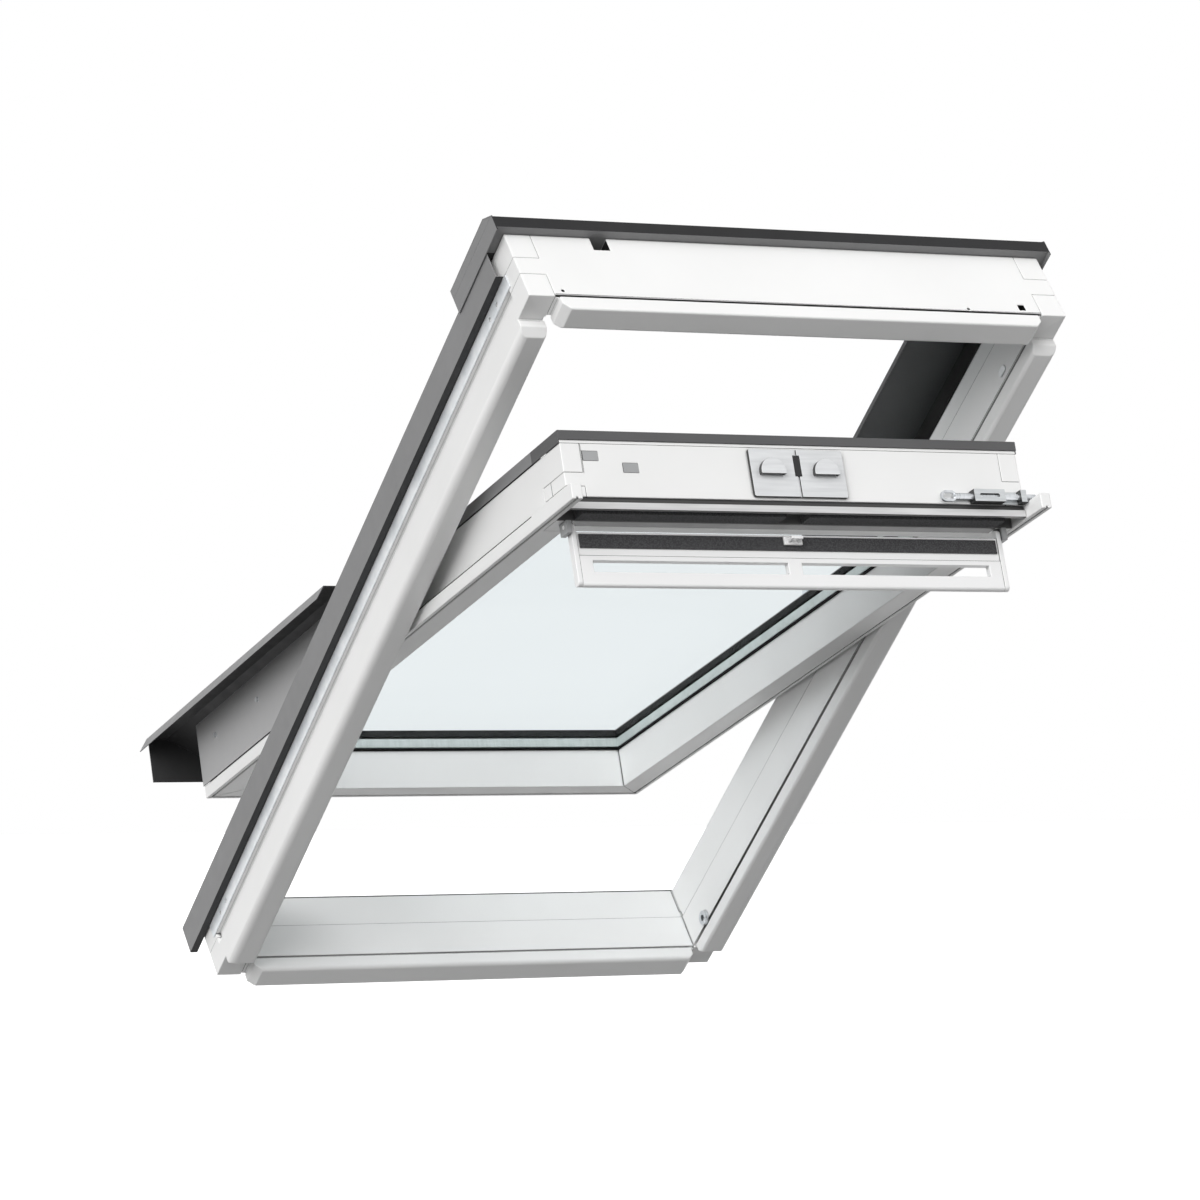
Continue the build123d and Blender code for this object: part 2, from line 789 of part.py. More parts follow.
with BuildPart() as outer_pane:
    with BuildSketch(plan(*sash, outer_glass_w)):
        Polygon(*corners(-glass_low_v, -glass_x, glass_top_v, glass_x))
    extrude(amount=pane)
outer_pane.part.label = "outer_pane"
export_step(outer_pane.part, "parts/outer_pane.step")

# Sash cladding, top: a folded sheet from the glass over the top edge and its two ends
with BuildPart() as sash_cladding_top:
    with BuildSketch(across(*sash, -bead_x)):
        Polygon(
            (bead_top, top_bead_v),
            (bead_top, bead_v),
            (bead_top - bead_lip, bead_v),
            (bead_top - bead_lip, top_v),
            (bead_top - sheet, top_v),
            (bead_top - sheet, top_bead_v),
        )
    extrude(amount=2 * bead_x)
    with BuildSketch(across(*sash, -bead_inner_x)):
        Polygon(*corners(cladding_seat_w, top_bead_v, bead_top - sheet, top_bead_v + sheet))
    extrude(amount=2 * bead_inner_x)
    with BuildSketch(across(*sash, -bead_x), across(*sash, web_x)):
        Polygon(*corners(web_top, top_bead_v, bead_top - sheet, top_v))
    extrude(amount=sheet)
sash_cladding_top.part.label = "sash_cladding_top"
export_step(sash_cladding_top.part, "parts/sash_cladding_top.step")

# Sash cladding, upper sides: sheets that slope down to the glass, cut away beside the pivot shoes
with BuildPart() as sash_bead_left:
    with BuildSketch(along(*sash, -tail_start)):
        Polygon(
            (-bead_inner_x, cladding_seat_w),
            (-bead_inner_x, cladding_seat_w + sheet),
            (-bead_x, bead_top),
            (-bead_x, web_top),
            (-web_x, web_top),
            (-web_x, bead_top - sheet),
        )
    extrude(amount=tail_start + top_bead_v)
    with BuildSketch(along(*sash, -tail_start)):
        Polygon(*corners(-bead_x, web_top, -web_x, bead_top))
    extrude(amount=2 * tail_start, mode=Mode.SUBTRACT)
sash_bead_left.part.label = "sash_bead_left"
export_step(sash_bead_left.part, "parts/sash_bead_left.step")

with BuildPart() as sash_bead_right:
    mirror(sash_bead_left.part, about=middle)
sash_bead_right.part.label = "sash_bead_right"
export_step(sash_bead_right.part, "parts/sash_bead_right.step")

# Sash cladding, lower sides: a cap from the glass over the frame, with a bevelled skirt and a wall
with BuildPart() as apron_left:
    with BuildSketch(along(*sash, -tail_v)):
        Polygon(
            (-tail_x, tail_skirt_low),
            (-tail_edge_x, tail_rise),
            (-tail_crest_x, tail_rise),
            (-bead_inner_x, cladding_seat_w + sheet),
            (-bead_inner_x, cladding_seat_w),
            (-tail_crest_x, tail_rise - sheet),
            (sheet - tail_edge_x, tail_rise - sheet),
            (sheet - tail_x, tail_skirt_low),
        )
    extrude(amount=tail_v - tail_start)
    with BuildSketch(along(*sash, -sash_v)):
        slope = (tail_rise - sheet - cladding_seat_w) / (tail_crest_x - bead_inner_x)
        wall_top = cladding_seat_w + slope * (tail_wall_x - bead_inner_x)
        Polygon(*corners(-tail_wall_x, flange_top, -sash_x, wall_top))
    extrude(amount=sash_v - tail_start)
apron_left.part.label = "apron_left"
export_step(apron_left.part, "parts/apron_left.step")

with BuildPart() as apron_right:
    mirror(apron_left.part, about=middle)
apron_right.part.label = "apron_right"
export_step(apron_right.part, "parts/apron_right.step")

# Sash cladding, bottom: the sheet between the two aprons, turned down at its end
with BuildPart() as apron_bottom:
    with BuildSketch(across(*sash, -bead_inner_x)):
        Polygon(*corners(cladding_seat_w, -tail_v, cladding_seat_w + sheet, -bead_inner_v))
    extrude(amount=2 * bead_inner_x)
    with BuildSketch(along(*sash, -tail_v)):
        end_x = tail_edge_x - sheet
        Polygon(
            (-end_x, tail_rise - tail_end_height),
            (-end_x, tail_rise - sheet),
            (-tail_crest_x, tail_rise - sheet),
            (-bead_inner_x, cladding_seat_w),
            (bead_inner_x, cladding_seat_w),
            (tail_crest_x, tail_rise - sheet),
            (end_x, tail_rise - sheet),
            (end_x, tail_rise - tail_end_height),
        )
    extrude(amount=sheet)
apron_bottom.part.label = "apron_bottom"
export_step(apron_bottom.part, "parts/apron_bottom.step")

# Rubber seals on the outer flanges of the sash
with BuildPart() as sash_seal_left:
    with BuildSketch(along(*sash, tail_start)):
        Polygon(*corners(-web_x - seal_size, flange_top, -web_x, flange_top + seal_size))
    extrude(amount=top_low_v - tail_start)
sash_seal_left.part.label = "sash_seal_left"
export_step(sash_seal_left.part, "parts/sash_seal_left.step")

with BuildPart() as sash_seal_right:
    mirror(sash_seal_left.part, about=middle)
sash_seal_right.part.label = "sash_seal_right"
export_step(sash_seal_right.part, "parts/sash_seal_right.step")

# Pivot shoes on the sash sides
with BuildPart() as pivot_shoe_left:
    with BuildSketch(across(*sash, -web_x)):
        Polygon(*corners(-shoe_low, -shoe_width / 2, 0, shoe_width / 2))
        Circle(shoe_width / 2)
        Circle(pivot_pin_diameter / 2 + running_clearance, mode=Mode.SUBTRACT)
    extrude(amount=-shoe_thickness)
pivot_shoe_left.part.label = "pivot_shoe_left"
export_step(pivot_shoe_left.part, "parts/pivot_shoe_left.step")

with BuildPart() as pivot_shoe_right:
    mirror(pivot_shoe_left.part, about=middle)
pivot_shoe_right.part.label = "pivot_shoe_right"
export_step(pivot_shoe_right.part, "parts/pivot_shoe_right.step")

# Air filter blocks and the rail that holds them in the ventilation recess
with BuildPart() as air_filter:
    with BuildSketch(across(*sash, filter_gap / 2)):
        vent_floor_v = top_low_v + vent_slab
        filter_v = vent_floor_v + filter_height
        Polygon(*corners(flange_top - filter_thickness, vent_floor_v, flange_top, filter_v))
    extrude(amount=web_x - filter_end_gap - filter_gap / 2)
    mirror(about=middle)
air_filter.part.label = "air_filter"
export_step(air_filter.part, "parts/air_filter.step")

with BuildPart() as filter_rail:
    with BuildSketch(across(*sash, -web_x)):
        rail_w = flange_top - filter_rail_drop
        Polygon(
            (flange_top, top_v - filter_rail_thickness),
            (flange_top, top_v - filter_rail_thickness - filter_rail_thickness),
            (rail_w - filter_rail_height, top_v - filter_rail_thickness - filter_rail_thickness),
            (rail_w - filter_rail_height, top_v),
            (rail_w, top_v),
            (rail_w, top_v - filter_rail_thickness),
        )
    extrude(amount=2 * web_x)
filter_rail.part.label = "filter_rail"
export_step(filter_rail.part, "parts/filter_rail.step")

# Lock case on the top face of the sash
with BuildPart() as lock_case:
    with BuildSketch(along(*sash, top_v)):
        with Locations((0, lock_w)):
            RectangleRounded(lock_width, lock_height, lock_round)
        with Locations((0, latch_w)):
            Rectangle(lock_slot_width, lock_slot_height, mode=Mode.SUBTRACT)
    extrude(amount=lock_plate)
    with BuildSketch(along(*sash, latch_face_v)):
        with Locations((-lock_hook_spread, lock_w), (lock_hook_spread, lock_w)):
            Circle(lock_hook_diameter / 2)
        with Locations((0, lock_w - lock_hook_diameter / 2 - lock_hook_flat)):
            Rectangle(lock_width, lock_hook_diameter, mode=Mode.SUBTRACT)
    extrude(amount=lock_hook_height)
    with BuildSketch(along(*sash, latch_face_v)):
        with Locations((-lock_hook_spread, lock_w), (lock_hook_spread, lock_w)):
            Circle(lock_hook_diameter / 2 - lock_hook_wall)
    extrude(amount=lock_hook_height - lock_hook_wall, mode=Mode.SUBTRACT)
    with BuildSketch(along(*sash, latch_face_v)):
        with Locations((0, lock_w)):
            Rectangle(lock_parting, lock_height)
    extrude(amount=-lock_parting, mode=Mode.SUBTRACT)
lock_case.part.label = "lock_case"
export_step(lock_case.part, "parts/lock_case.step")

# Latch that slides out of the lock case when the flap is shut
with BuildPart() as latch:
    with BuildSketch(along(*sash, latch_face_v)):
        with Locations((0, latch_w)):
            Rectangle(lock_slot_width - 2 * latch_clearance, lock_slot_height - 2 * latch_clearance)
    extrude(amount=latch_clearance - latch_depth)
latch.part.label = "latch"
export_step(latch.part, "parts/latch.step")

# Case of the barrel bolt: base plate, slotted barrel and end guide
with BuildPart() as bolt_case:
    case_x = bolt_end_x - bolt_case_setback - bolt_guide_length
    guide_x = web_x - bolt_guide_setback - bolt_guide_length
    case_low = bolt_w - bolt_case_height / 2
    case_high = bolt_w + bolt_case_height / 2
    case_face_v = bolt_v + bolt_diameter / 2 + bolt_wall
    with BuildSketch(across(*sash, case_x)):
        Polygon(*corners(case_low, top_v, case_high, top_v + bolt_base_thickness))
    extrude(amount=guide_x + bolt_guide_length - case_x)
    with BuildSketch(across(*sash, case_x)):
        Polygon(*corners(case_low, top_v, case_high, case_face_v))
    extrude(amount=bolt_case_length)
    with BuildSketch(across(*sash, guide_x)):
        Polygon(*corners(case_low, top_v, case_high, case_face_v))
    extrude(amount=bolt_guide_length)
    with BuildSketch(across(*sash, case_x)):
        with Locations((bolt_w, bolt_v)):
            Circle(bolt_diameter / 2 + running_clearance)
    extrude(amount=guide_x + bolt_guide_length - case_x, mode=Mode.SUBTRACT)
    with BuildSketch(along(*sash, bolt_v)):
        with Locations((case_x + bolt_case_length / 2, bolt_w)):
            SlotOverall(bolt_slot_length, bolt_slot_width)
    extrude(amount=case_face_v - bolt_v, mode=Mode.SUBTRACT)
bolt_case.part.label = "bolt_case"
export_step(bolt_case.part, "parts/bolt_case.step")

# Barrel bolt with its wire loop
with BuildPart() as barrel_bolt:
    with BuildSketch(across(*sash, bolt_start_x)):
        with Locations((bolt_w, bolt_v)):
            Circle(bolt_diameter / 2)
    extrude(amount=bolt_length)
    chamfer(barrel_bolt.edges().group_by(Axis.X)[-1], length=loop_wire / 4)
    with BuildSketch(along(*sash, bolt_v - loop_wire / 2)):
        with Locations((bolt_start_x - loop_length / 2 + loop_wire, bolt_w)):
            SlotOverall(loop_length, loop_width)
            SlotOverall(loop_length - 2 * loop_wire, loop_width - 2 * loop_wire, mode=Mode.SUBTRACT)
    extrude(amount=loop_wire)
barrel_bolt.part.label = "barrel_bolt"
export_step(barrel_bolt.part, "parts/barrel_bolt.step")

# Hinge ears of the flap, on the inner face of the sash
with BuildPart() as flap_hinge_left:
    with BuildSketch(across(*sash, -hinge_ear_x)):
        with Locations((-sash_inside - hinge_ear_height / 2, hinge_v)):
            Rectangle(hinge_ear_height, hinge_ear_width)
        with Locations((hinge_w, hinge_v)):
            Circle(hinge_pin_diameter / 2 + running_clearance, mode=Mode.SUBTRACT)
    extrude(amount=-hinge_ear)
flap_hinge_left.part.label = "flap_hinge_left"
export_step(flap_hinge_left.part, "parts/flap_hinge_left.step")

with BuildPart() as flap_hinge_right:
    mirror(flap_hinge_left.part, about=middle)
flap_hinge_right.part.label = "flap_hinge_right"
export_step(flap_hinge_right.part, "parts/flap_hinge_right.step")

# Ventilation flap: panel and its soft seal
with BuildPart() as flap_panel:
    with BuildSketch(across(*flap, -panel_x)):
        Polygon(*corners(-flap_thickness / 2, flap_root, flap_thickness / 2, panel_top))
    extrude(amount=2 * panel_x)
flap_panel.part.label = "flap_panel"
export_step(flap_panel.part, "parts/flap_panel.step")

with BuildPart() as flap_seal:
    with BuildSketch(across(*flap, flap_seal_inset - panel_x)):
        seal_low = flap_root + flap_seal_inset
        Polygon(*corners(flap_thickness / 2, seal_low, seal_face, seal_low + flap_seal_height))
    extrude(amount=2 * (panel_x - flap_seal_inset))
flap_seal.part.label = "flap_seal"
export_step(flap_seal.part, "parts/flap_seal.step")

# Control bar along the flap, with two finger openings
with BuildPart() as control_bar:
    with BuildSketch(across(*flap, -panel_x)):
        Polygon(*corners(-bar_thickness / 2, panel_top, bar_thickness / 2, bar_top))
    extrude(amount=2 * panel_x)
    grip_edges = control_bar.edges().filter_by(Axis.X).group_by(flap_up)[-1]
    fillet(grip_edges, radius=bar_round)
    with BuildSketch(plan(*flap, -bar_thickness / 2)):
        slot_low = panel_top + bar_rim
        slot_high = slot_low + finger_slot_height
        Polygon(*corners(slot_low, bar_middle / 2, slot_high, panel_x - bar_arm))
        Polygon(*corners(slot_low, bar_arm - panel_x, slot_high, -bar_middle / 2))
    extrude(amount=bar_thickness, mode=Mode.SUBTRACT)
control_bar.part.label = "control_bar"
export_step(control_bar.part, "parts/control_bar.step")

# End arms of the flap with their hinge pins
with BuildPart() as flap_arm_left:
    with BuildSketch(across(*flap, -arm_x)):
        Polygon(*corners(-arm_width / 2, 0, arm_width / 2, bar_top - arm_width / 2))
        Circle(arm_width / 2)
        with Locations((0, bar_top - arm_width / 2)):
            Circle(arm_width / 2)
    extrude(amount=arm_thickness)
    with BuildSketch(across(*flap, -arm_x)):
        Circle(hinge_pin_diameter / 2)
    extrude(amount=-hinge_pin_length)
flap_arm_left.part.label = "flap_arm_left"
export_step(flap_arm_left.part, "parts/flap_arm_left.step")

with BuildPart() as flap_arm_right:
    mirror(flap_arm_left.part, about=middle)
flap_arm_right.part.label = "flap_arm_right"
export_step(flap_arm_right.part, "parts/flap_arm_right.step")

# Catch on the flap, a small arch on a base
with BuildPart() as catch:
    with BuildSketch(plan(*flap, seal_face)):
        with Locations((seal_low + catch_base_height / 2, 0)):
            Rectangle(catch_base_height, catch_base_width)
    extrude(amount=catch_thickness)
    arch_low = seal_low + (catch_base_height - catch_thickness) / 2
    with BuildSketch(along(*flap, arch_low)):
        arch_foot = seal_face + catch_thickness
        Polygon(*corners(-catch_width / 2, arch_foot, catch_width / 2, seal_face + catch_height))
        arch_crown = seal_face + catch_height - catch_thickness
        arch_side = catch_slot_width / 2
        Polygon(*corners(-arch_side, arch_foot, arch_side, arch_crown), mode=Mode.SUBTRACT)
    extrude(amount=catch_thickness)
catch.part.label = "catch"
export_step(catch.part, "parts/catch.step")

# Screws that hold the apron walls to the sash
with BuildPart() as apron_screws:
    with BuildSketch(across(*sash, -tail_wall_x)):
        screw_far = tail_screw_setback - sash_v
        with Locations((-tail_screw_drop, screw_far), (-tail_screw_drop, screw_far + tail_screw_pitch)):
            RegularPolygon(tail_screw_diameter / 2, tail_screw_sides)
    extrude(amount=-tail_screw_height)
    mirror(about=middle)
apron_screws.part.label = "apron_screws"
export_step(apron_screws.part, "parts/apron_screws.step")
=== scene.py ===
import json
from math import cos, radians, sin

import bmesh
import bpy
from mathutils import Matrix, Vector


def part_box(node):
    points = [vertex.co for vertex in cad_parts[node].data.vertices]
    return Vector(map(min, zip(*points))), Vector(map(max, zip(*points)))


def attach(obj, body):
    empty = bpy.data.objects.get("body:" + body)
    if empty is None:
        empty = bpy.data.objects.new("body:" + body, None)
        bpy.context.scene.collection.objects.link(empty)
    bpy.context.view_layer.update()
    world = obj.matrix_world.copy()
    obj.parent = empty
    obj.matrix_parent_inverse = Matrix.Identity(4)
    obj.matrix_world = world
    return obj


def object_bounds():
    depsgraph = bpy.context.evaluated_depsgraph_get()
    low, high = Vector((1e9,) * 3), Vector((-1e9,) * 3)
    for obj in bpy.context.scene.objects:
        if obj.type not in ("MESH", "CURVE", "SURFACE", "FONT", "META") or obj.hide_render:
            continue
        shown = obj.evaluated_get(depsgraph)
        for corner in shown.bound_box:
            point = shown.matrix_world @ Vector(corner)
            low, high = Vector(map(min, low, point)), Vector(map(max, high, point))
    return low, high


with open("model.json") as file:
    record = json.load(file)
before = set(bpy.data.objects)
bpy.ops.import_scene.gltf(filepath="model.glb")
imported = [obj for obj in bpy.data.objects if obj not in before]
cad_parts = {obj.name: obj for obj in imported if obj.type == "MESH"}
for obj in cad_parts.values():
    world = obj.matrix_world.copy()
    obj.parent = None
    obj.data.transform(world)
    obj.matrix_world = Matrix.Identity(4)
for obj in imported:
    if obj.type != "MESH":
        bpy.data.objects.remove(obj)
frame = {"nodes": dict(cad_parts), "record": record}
cad_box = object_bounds()
nodes = frame["nodes"]

# Directions of the frame and of the open sash: up their length and outward
roof_lean = radians(41.0)
sash_lean = radians(17.6)
across = Vector((1.0, 0.0, 0.0))
roof_up = Vector((0.0, -cos(roof_lean), sin(roof_lean)))
roof_out = Vector((0.0, sin(roof_lean), cos(roof_lean)))
sash_up = Vector((0.0, -cos(sash_lean), sin(sash_lean)))
sash_out = Vector((0.0, sin(sash_lean), cos(sash_lean)))


def reach(node, direction):
    """The lowest and highest place of a node along a direction."""
    places = [corner.co.dot(direction) for corner in nodes[node].data.vertices]
    return min(places), max(places)


# Shader building blocks

noise_middle = (0.3, 0.7)
moulding_middle = (0.35, 0.65)


def new_material(name):
    mat = bpy.data.materials.new(name)
    mat.use_nodes = True
    tree = mat.node_tree
    shader = tree.nodes["Principled BSDF"]
    coords = tree.nodes.new("ShaderNodeTexCoord")
    return mat, tree, shader, coords.outputs["Object"]


def noise(tree, vector, scale, detail=3.0, stretch=None):
    if stretch is not None:
        mapping = tree.nodes.new("ShaderNodeMapping")
        mapping.inputs["Scale"].default_value = stretch
        tree.links.new(vector, mapping.inputs["Vector"])
        vector = mapping.outputs["Vector"]
    node = tree.nodes.new("ShaderNodeTexNoise")
    node.inputs["Scale"].default_value = scale
    node.inputs["Detail"].default_value = detail
    tree.links.new(vector, node.inputs["Vector"])
    return node.outputs["Fac"]


def cells(tree, vector, scale):
    node = tree.nodes.new("ShaderNodeTexVoronoi")
    node.inputs["Scale"].default_value = scale
    tree.links.new(vector, node.inputs["Vector"])
    return node.outputs["Distance"]


def tone(tree, factor, dark, light, span=noise_middle):
    """A colour that runs from dark to light as factor goes through a span."""
    ramp = tree.nodes.new("ShaderNodeValToRGB")
    ramp.color_ramp.elements[0].position = span[0]
    ramp.color_ramp.elements[0].color = (*dark, 1)
    ramp.color_ramp.elements[1].position = span[1]
    ramp.color_ramp.elements[1].color = (*light, 1)
    tree.links.new(factor, ramp.inputs["Fac"])
    return ramp.outputs["Color"]


def remap(tree, value, start=0.0, end=1.0, low=0.0, high=1.0):
    """A number that runs from low to high as value goes from start to end."""
    node = tree.nodes.new("ShaderNodeMapRange")
    node.inputs["From Min"].default_value = start
    node.inputs["From Max"].default_value = end
    node.inputs["To Min"].default_value = low
    node.inputs["To Max"].default_value = high
    tree.links.new(value, node.inputs["Value"])
    return node.outputs["Result"]


def spread(tree, factor, middle, change):
    """A number that drifts about a middle value with the middle of a noise."""
    return remap(tree, factor, *noise_middle, low=middle - change, high=middle + change)


def combine(tree, operation, first, second):
    node = tree.nodes.new("ShaderNodeMath")
    node.operation = operation
    tree.links.new(first, node.inputs[0])
    tree.links.new(second, node.inputs[1])
    return node.outputs["Value"]


def blend(tree, factor, first, second):
    mix = tree.nodes.new("ShaderNodeMix")
    mix.data_type = "RGBA"
    tree.links.new(factor, mix.inputs["Factor"])
    tree.links.new(first, mix.inputs["A"])
    tree.links.new(second, mix.inputs["B"])
    return mix.outputs["Result"]


def bump(tree, shader, height, strength, distance):
    node = tree.nodes.new("ShaderNodeBump")
    node.inputs["Strength"].default_value = strength
    node.inputs["Distance"].default_value = distance
    tree.links.new(height, node.inputs["Height"])
    tree.links.new(node.outputs["Normal"], shader.inputs["Normal"])


def paint(tree, shader, colour, roughness):
    tree.links.new(colour, shader.inputs["Base Color"])
    tree.links.new(roughness, shader.inputs["Roughness"])


def along(tree, vector, direction):
    dot = tree.nodes.new("ShaderNodeVectorMath")
    dot.operation = "DOT_PRODUCT"
    dot.inputs[1].default_value = direction
    tree.links.new(vector, dot.inputs[0])
    return dot.outputs["Value"]


def facing(tree, toward, start, end):
    """0 where the piece's own surface turns away from a direction, 1 where it faces it."""
    coords = tree.nodes.new("ShaderNodeTexCoord")
    return remap(tree, along(tree, coords.outputs["Normal"], toward), start, end)


def open_to_air(tree, depth):
    """1 on open surfaces, 0 deep in grooves and in the seams between pieces, where shade falls; it masks
    painted shade.
    """
    node = tree.nodes.new("ShaderNodeAmbientOcclusion")
    node.samples = 8
    node.inputs["Distance"].default_value = depth
    return remap(tree, node.outputs["AO"], start=0.35, end=0.85)


def inside(tree, at, ranges):
    """1 where the place lies within each range along its direction, else 0."""
    total = None
    for direction, low, high in ranges:
        node = tree.nodes.new("ShaderNodeMath")
        node.operation = "COMPARE"
        node.inputs[1].default_value = (low + high) / 2
        node.inputs[2].default_value = (high - low) / 2
        tree.links.new(along(tree, at, direction), node.inputs[0])
        within = node.outputs["Value"]
        total = within if total is None else combine(tree, "MULTIPLY", total, within)
    return total


def scaled(colour, share):
    return [share * value for value in colour]


def grey(level):
    return (level, level, level)


# Kinds of surface

def moulded(name, dark, light, rough, shade_masks=(), shade=0.010):
    """Satin moulding: a slow tone drift, a fine orange-peel skin, uneven gloss, and painted shade in its
    grooves, in the seams between pieces and inside the given masks.
    """
    mat, tree, shader, at = new_material(name)
    drift = noise(tree, at, scale=5.0)
    skin = noise(tree, at, scale=900.0, detail=2.0)
    gloss = noise(tree, at, scale=24.0)
    # Painted shade: the colour turns dark in grooves and in the seams between pieces.
    dust_and_shade = tone(tree, drift, scaled(dark, 0.14), scaled(light, 0.18), moulding_middle)
    unshaded = tone(tree, drift, dark, light, moulding_middle)
    colour = blend(tree, open_to_air(tree, depth=0.006), dust_and_shade, unshaded)
    # Painted shade inside each mask.
    for shade_mask in shade_masks:
        deep = tone(tree, drift, grey(0.8 * shade), grey(shade), moulding_middle)
        colour = blend(tree, inside(tree, at, shade_mask), colour, deep)
    paint(tree, shader, colour, spread(tree, gloss, rough, change=0.03))
    bump(tree, shader, skin, strength=0.08, distance=0.0003)
    return mat


def coated_sheet(name, dark, light, rough, painted_side=None, toward=None, painted_wall=None):
    """Powder-coated sheet with a fine grain and a slow tone drift.

    A colour of painted shade coats the side that faces a direction, and a paler colour of painted light
    the upright sides.
    """
    mat, tree, shader, at = new_material(name)
    drift = noise(tree, at, scale=4.0, detail=2.0)
    grain = noise(tree, at, scale=1600.0, detail=2.0)
    gloss = noise(tree, at, scale=40.0)
    colour = tone(tree, drift, dark, light)
    # Painted light: the upright sides are paler than the rest of the sheet.
    if painted_wall:
        painted_wall_tone = tone(tree, drift, scaled(painted_wall, 0.95), painted_wall)
        for side in (-across, across):
            colour = blend(tree, facing(tree, side, start=0.92, end=0.96), colour, painted_wall_tone)
    # Painted shade on the side that faces the given direction.
    if painted_side:
        painted_side_tone = tone(tree, drift, scaled(painted_side, 0.9), painted_side)
        colour = blend(tree, facing(tree, toward, start=0.30, end=0.42), colour, painted_side_tone)
    paint(tree, shader, colour, spread(tree, gloss, rough, change=0.06))
    bump(tree, shader, grain, strength=0.06, distance=0.0003)
    shader.inputs["Metallic"].default_value = 0.10
    shader.inputs["Specular IOR Level"].default_value = 0.12
    return mat


def galvanised(name, dark, light, rough, metallic):
    """Zinc-coated steel: spangle cells crossed by fine drawing lines."""
    mat, tree, shader, at = new_material(name)
    spangle = cells(tree, at, scale=75.0)
    lines = noise(tree, at, scale=60.0, detail=4.0, stretch=(4.0, 0.35, 0.35))
    mix = tree.nodes.new("ShaderNodeMath")
    mix.operation = "MULTIPLY_ADD"
    mix.inputs[1].default_value = 0.35
    tree.links.new(spangle, mix.inputs[0])
    tree.links.new(lines, mix.inputs[2])
    colour = tone(tree, mix.outputs["Value"], dark, light, span=(0.4, 0.85))
    paint(tree, shader, colour, spread(tree, lines, rough, change=0.08))
    bump(tree, shader, lines, strength=0.06, distance=0.0003)
    shader.inputs["Metallic"].default_value = metallic
    return mat


def plated(name, dark, light, edge, rough, toward, groove=None):
    """Plated sheet steel, bright where it faces a direction, with painted shade on its other faces and
    below a groove.
    """
    mat, tree, shader, at = new_material(name)
    lines = noise(tree, at, scale=30.0, detail=4.0, stretch=(0.4, 6.0, 6.0))
    bright = tone(tree, lines, dark, light)
    # Painted shade: edges, hook undersides and other faces turned from the direction are dark.
    painted_edge_shade = tone(tree, lines, scaled(edge, 0.8), edge)
    face = facing(tree, toward, start=0.55, end=0.85)
    # Painted shade also below the groove's place along the direction.
    if groove is not None:
        blur = 0.0005
        above = remap(tree, along(tree, at, toward), groove - blur, groove + blur)
        face = combine(tree, "MULTIPLY", face, above)
    paint(tree, shader, blend(tree, face, painted_edge_shade, bright), spread(tree, lines, rough, change=0.06))
    bump(tree, shader, lines, strength=0.05, distance=0.0002)
    shader.inputs["Metallic"].default_value = 0.4
    return mat


def rubber(name, dark, light):
    """Dull rubber with a little dust."""
    mat, tree, shader, at = new_material(name)
    dust_and_shade = noise(tree, at, scale=35.0, detail=5.0)
    grain = noise(tree, at, scale=1400.0, detail=2.0)
    colour = tone(tree, dust_and_shade, dark, light, span=(0.3, 0.75))
    paint(tree, shader, colour, spread(tree, dust_and_shade, middle=0.65, change=0.10))
    bump(tree, shader, grain, strength=0.2, distance=0.0003)
    shader.inputs["Specular IOR Level"].default_value = 0.15
    return mat


def foam(name, dark, light):
    """Open-cell foam, mottled by its pores."""
    mat, tree, shader, at = new_material(name)
    pores = cells(tree, at, scale=420.0)
    tree.links.new(tone(tree, pores, light, dark, span=(0.1, 0.7)), shader.inputs["Base Color"])
    shader.inputs["Roughness"].default_value = 0.95
    bump(tree, shader, pores, strength=0.6, distance=0.001)
    return mat


def glazing(name, dark, light):
    """Clear float glass with a faint drift in its tint, open to the light of lamps."""
    mat, tree, shader, at = new_material(name)
    tint = noise(tree, at, scale=1.5)
    tree.links.new(tone(tree, tint, dark, light), shader.inputs["Base Color"])
    shader.inputs["Roughness"].default_value = 0.0
    shader.inputs["IOR"].default_value = 1.02
    shader.inputs["Transmission Weight"].default_value = 1.0
    clear = tree.nodes.new("ShaderNodeBsdfTransparent")
    clear.inputs["Color"].default_value = (0.965, 0.968, 0.970, 1)
    path = tree.nodes.new("ShaderNodeLightPath")
    either = tree.nodes.new("ShaderNodeMixShader")
    tree.links.new(path.outputs["Is Shadow Ray"], either.inputs["Fac"])
    tree.links.new(shader.outputs["BSDF"], either.inputs[1])
    tree.links.new(clear.outputs["BSDF"], either.inputs[2])
    tree.links.new(either.outputs["Shader"], tree.nodes["Material Output"].inputs["Surface"])
    return mat


# White mouldings: plain, with painted shade inside the cut-outs of the frame's top, and with painted
# shade in the vent's recess
white_dark = (0.825, 0.825, 0.82)
white_light = (0.85, 0.85, 0.845)
white_rough = 0.40
white = moulded("white_moulding", white_dark, white_light, white_rough)

top_face = reach("frame_top", roof_up)[1]
top_low, top_high = reach("frame_top", roof_out)
cut_out_depth = 0.0285
cut_out_skin = 0.0015
cut_out_low = 0.028
cut_out_edge = 0.002
cut_out_x = 0.425
# Painted shade inside the cut-outs of the frame's top, from just below its top face down to their depth.
shaded_cut_outs = [
    (roof_up, top_face - cut_out_depth, top_face - cut_out_skin),
    (roof_out, top_low + cut_out_low, top_high - cut_out_edge),
    (across, -cut_out_x, cut_out_x),
]
pierced_white = moulded("pierced_moulding", white_dark, white_light, white_rough, [shaded_cut_outs])

